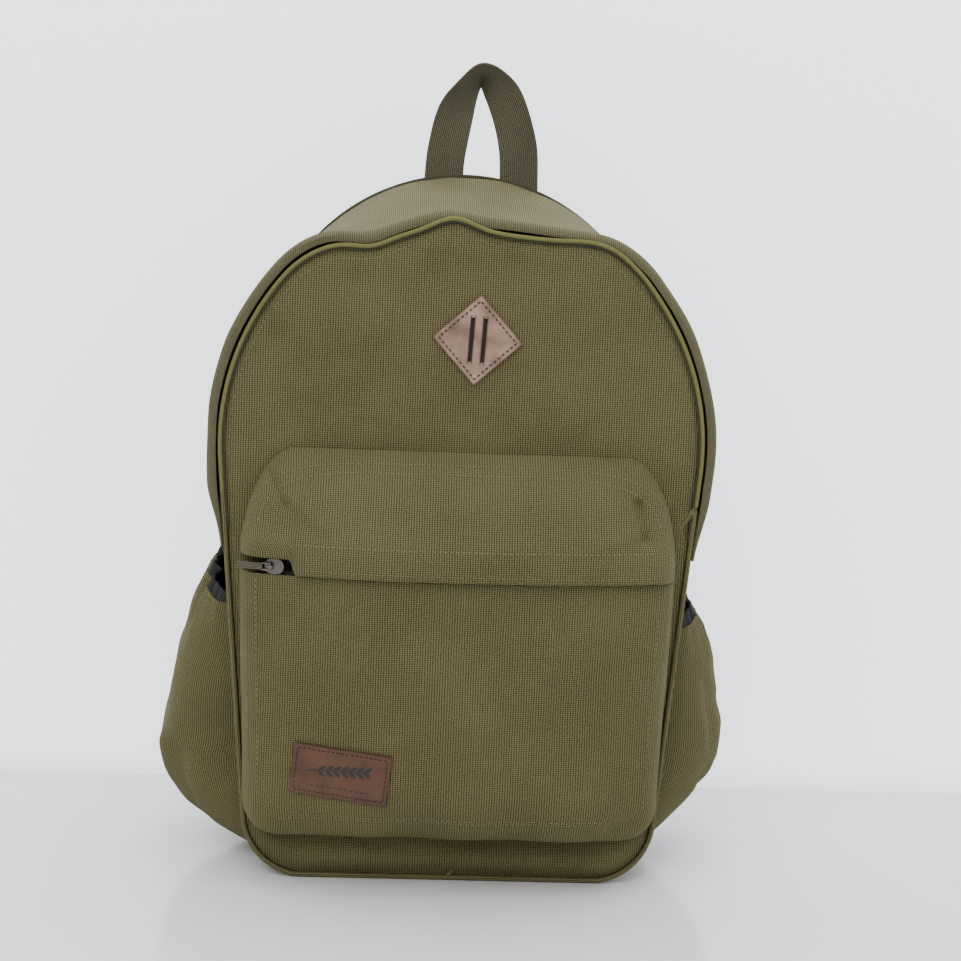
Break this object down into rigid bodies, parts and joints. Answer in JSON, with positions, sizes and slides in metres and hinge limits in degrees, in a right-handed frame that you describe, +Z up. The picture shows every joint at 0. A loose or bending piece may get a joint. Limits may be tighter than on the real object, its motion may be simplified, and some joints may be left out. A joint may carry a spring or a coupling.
{
  "type": "school backpack",
  "caption": "Arched canvas backpack with a fold-down zipped lid, a hooded front pocket, elastic side pockets, a haul handle and padded shoulder straps.",
  "frame": {"origin": "on the floor under the base panel, midway between the sides and on the gusset's depth datum", "axes": "+Z up, +X to the viewer's right seen from the front, the front faces -Y"},
  "size_m": [0.3599, 0.211, 0.504],
  "materials": {
    "gusset_canvas": "olive canvas with a coarse weave",
    "panel_canvas": "olive canvas with a coarse weave",
    "base_canvas": "olive canvas with a coarse weave",
    "piping": "woven cord piping",
    "hem_canvas": "rolled canvas hem",
    "back_mesh": "padded canvas back",
    "foam": "closed-cell foam sheet",
    "lining": "plain woven lining",
    "zip_tape": "herringbone zip tape",
    "zip_teeth": "nylon coil",
    "zip_metal": "dark plated zinc",
    "pull_cord": "webbing zip pull",
    "webbing": "ribbed woven webbing",
    "elastic": "ribbed black elastic",
    "diamond_leather": "matt leather",
    "patch_leather": "matt leather",
    "buckle_plastic": "moulded plastic"
  },
  "bodies": {
    "bag": {"upper_gusset": "gusset_canvas", "side_panel_left": "panel_canvas", "side_panel_right": "panel_canvas", "base_panel": "base_canvas", "zip_rain_hem": "hem_canvas", "back_panel": "back_mesh", "back_foam": "foam", "compartment_lining": "lining", "front_panel_lower": "panel_canvas", "front_lining_lower": "lining", "front_piping_lower": "piping", "main_zip_teeth_back": "zip_teeth", "main_zip_tape_back": "zip_tape", "main_zip_teeth_lower": "zip_teeth", "main_zip_tape_lower": "zip_tape", "pocket_pouch": "panel_canvas", "pocket_zip_teeth_pouch": "zip_teeth", "pocket_zip_tape_pouch": "zip_tape", "pocket_patch": "patch_leather", "haul_handle_ends": "webbing", "strap_yoke": "webbing", "strap_top_end_left": "panel_canvas", "strap_top_end_right": "panel_canvas", "corner_tab_left": "base_canvas", "corner_tab_right": "base_canvas"},
    "lid": {"front_panel_lid": "panel_canvas", "front_lining_lid": "lining", "front_piping_lid": "piping", "main_zip_teeth_lid": "zip_teeth", "main_zip_tape_lid": "zip_tape", "diamond_patch": "diamond_leather"},
    "hood": {"pocket_hood": "panel_canvas", "pocket_zip_teeth_hood": "zip_teeth", "pocket_zip_tape_hood": "zip_tape"},
    "up_slider": {"main_zip_up_slider": "zip_metal"},
    "up_pull": {"main_zip_up_pull": "pull_cord"},
    "down_slider": {"main_zip_down_slider": "zip_metal"},
    "down_pull": {"main_zip_down_pull": "pull_cord"},
    "pocket_slider": {"pocket_zip_slider": "zip_metal"},
    "pocket_pull": {"pocket_zip_pull": "pull_cord"},
    "handle": {"haul_handle": "webbing"},
    "strap_left": {"shoulder_strap_left": "panel_canvas", "adjuster_tab_left": "webbing", "ladder_lock_left": "buckle_plastic", "strap_webbing_left": "webbing"},
    "tail_left": {"webbing_tail_left": "webbing"},
    "side_pocket_left": {"side_pocket_left": "panel_canvas", "side_elastic_left": "elastic"},
    "strap_right": {"shoulder_strap_right": "panel_canvas", "adjuster_tab_right": "webbing", "ladder_lock_right": "buckle_plastic", "strap_webbing_right": "webbing"},
    "tail_right": {"webbing_tail_right": "webbing"},
    "side_pocket_right": {"side_pocket_right": "panel_canvas", "side_elastic_right": "elastic"}
  },
  "joints": [
    {"name": "lid_fold", "type": "hinge", "parent": "bag", "child": "lid", "pos_m": [0, -0.0585, 0.273], "axis": [1, 0, 0], "range_deg": [0, 80]},
    {"name": "hood_lift", "type": "hinge", "parent": "bag", "child": "hood", "pos_m": [0, -0.0588, 0.2655], "axis": [-1, 0, 0], "range_deg": [0, 20]},
    {"name": "up_slider_run", "type": "hinge", "parent": "bag", "child": "up_slider", "pos_m": [0.06285, -0.045, 0.32823], "axis": [0, -1, 0], "range_deg": [0, 22.8]},
    {"name": "down_slider_run", "type": "hinge", "parent": "bag", "child": "down_slider", "pos_m": [-0.00863, -0.045, 0.26824], "axis": [0, 1, 0], "range_deg": [0, 39.4]},
    {"name": "pocket_slider_run", "type": "hinge", "parent": "bag", "child": "pocket_slider", "pos_m": [0, 0.322, 0.198], "axis": [0, 0, 1], "range_deg": [0, 29.75]},
    {"name": "up_pull_swing", "type": "hinge", "parent": "up_slider", "child": "up_pull", "pos_m": [0.10391, -0.045, 0.37439], "axis": [0, 1, 0], "range_deg": [0, 10]},
    {"name": "down_pull_swing", "type": "hinge", "parent": "down_slider", "child": "down_pull", "pos_m": [0.11567, -0.045, 0.36097], "axis": [0, -1, 0], "range_deg": [0, 10]},
    {"name": "pocket_pull_swing", "type": "hinge", "parent": "pocket_slider", "child": "pocket_pull", "pos_m": [-0.11038, -0.08505, 0.198], "axis": [0, 0, 1], "range_deg": [0, 100]},
    {"name": "handle_fold", "type": "hinge", "parent": "bag", "child": "handle", "pos_m": [0.008, 0.0595, 0.432], "axis": [1, 0, 0], "range_deg": [-75, 75]},
    {"name": "strap_swing_left", "type": "hinge", "parent": "bag", "child": "strap_left", "pos_m": [-0.042, 0.0665, 0.384], "axis": [-0.1711, 0, -0.9853], "range_deg": [-25, 25]},
    {"name": "tail_swing_left", "type": "hinge", "parent": "strap_left", "child": "tail_left", "pos_m": [-0.08531, 0.10541, 0.13459], "axis": [1, 0, 0], "range_deg": [0, 40]},
    {"name": "side_mouth_left", "type": "hinge", "parent": "bag", "child": "side_pocket_left", "pos_m": [-0.126, 0.012, 0.026], "axis": [0, -1, 0], "range_deg": [0, 10], "stiffness_Nm_per_rad": 2, "springref_deg": -2.86},
    {"name": "strap_swing_right", "type": "hinge", "parent": "bag", "child": "strap_right", "pos_m": [0.042, 0.0665, 0.384], "axis": [0.1711, 0, -0.9853], "range_deg": [-25, 25]},
    {"name": "tail_swing_right", "type": "hinge", "parent": "strap_right", "child": "tail_right", "pos_m": [0.08531, 0.10541, 0.13459], "axis": [1, 0, 0], "range_deg": [0, 40]},
    {"name": "side_mouth_right", "type": "hinge", "parent": "bag", "child": "side_pocket_right", "pos_m": [0.126, 0.012, 0.026], "axis": [0, 1, 0], "range_deg": [0, 10], "stiffness_Nm_per_rad": 2, "springref_deg": -2.86}
  ]
}
